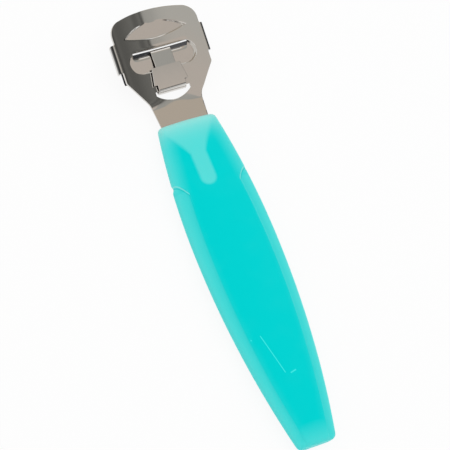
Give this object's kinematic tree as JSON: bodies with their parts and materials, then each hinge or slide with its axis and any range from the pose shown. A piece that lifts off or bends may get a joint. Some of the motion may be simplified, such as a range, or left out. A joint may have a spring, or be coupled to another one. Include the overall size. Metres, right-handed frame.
{
  "type": "callus shaver",
  "caption": "Callus shaver with a curved stamped steel head, a thin sprung blade held by side lugs and a spring clip, and a translucent turquoise plastic handle.",
  "frame": {"origin": "middle of the whole tool's bounding box, at the height of the handle's flat back, which it rests on", "axes": "+Y along the tool from the handle's end to the head, +Z out of the user's side (up as it lies on its back), +X to the right"},
  "size_m": [0.0352, 0.166, 0.0131],
  "materials": {
    "polished_steel": "mirror-polished stamped stainless sheet",
    "clip_steel": "polished spring steel strip",
    "blade_steel": "fine ground razor steel",
    "handle_plastic": "translucent turquoise, smooth moulded"
  },
  "bodies": {
    "root": {"head_plate": "polished_steel", "spring_clip": "clip_steel", "blade": "blade_steel", "handle": "handle_plastic"}
  },
  "joints": []
}
